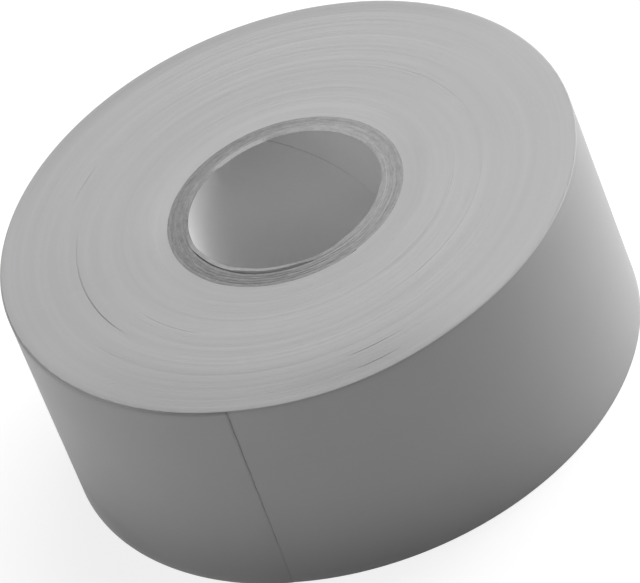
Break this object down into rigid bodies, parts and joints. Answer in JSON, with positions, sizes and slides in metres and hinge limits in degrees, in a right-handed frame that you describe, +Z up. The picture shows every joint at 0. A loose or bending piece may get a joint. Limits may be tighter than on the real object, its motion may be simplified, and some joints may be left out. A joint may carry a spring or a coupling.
{
  "type": "pvc tape roll",
  "caption": "Roll of plain grey PVC tape wound on a spiral-wound paperboard core with an open bore, its cut end lying on the outer turn and able to peel away.",
  "frame": {"origin": "on the roll's axis, in the end face that the roll lies on", "axes": "+Z up along the roll's axis, -Y towards the picture's camera, the cut end of the tape at -116 degrees from +X"},
  "size_m": [0.0962, 0.0961, 0.0382],
  "materials": {
    "pvc_film": "satin soft PVC film",
    "wound_film": "matt slit edges of the wound film",
    "adhesive": "tacky rubber adhesive coat",
    "liner_paper": "smooth calendered paper",
    "core_board": "raw recycled paperboard with fibrous cut edges"
  },
  "bodies": {
    "roll": {"core_liner": "liner_paper", "core_ply_2": "core_board", "core_ply_3": "core_board", "core_ply_4": "core_board", "core_ply_5": "core_board", "core_outer_ply": "core_board", "tape_pack": "wound_film", "outer_turn_film": "pvc_film", "outer_turn_adhesive": "adhesive"},
    "free_end": {"free_end_film": "pvc_film", "free_end_adhesive": "adhesive"}
  },
  "joints": [
    {"name": "free_end_peel", "type": "hinge", "parent": "roll", "child": "free_end", "pos_m": [-0.0424, -0.02287, 0.019], "axis": [0, 0, -1], "range_deg": [0, 90]}
  ]
}
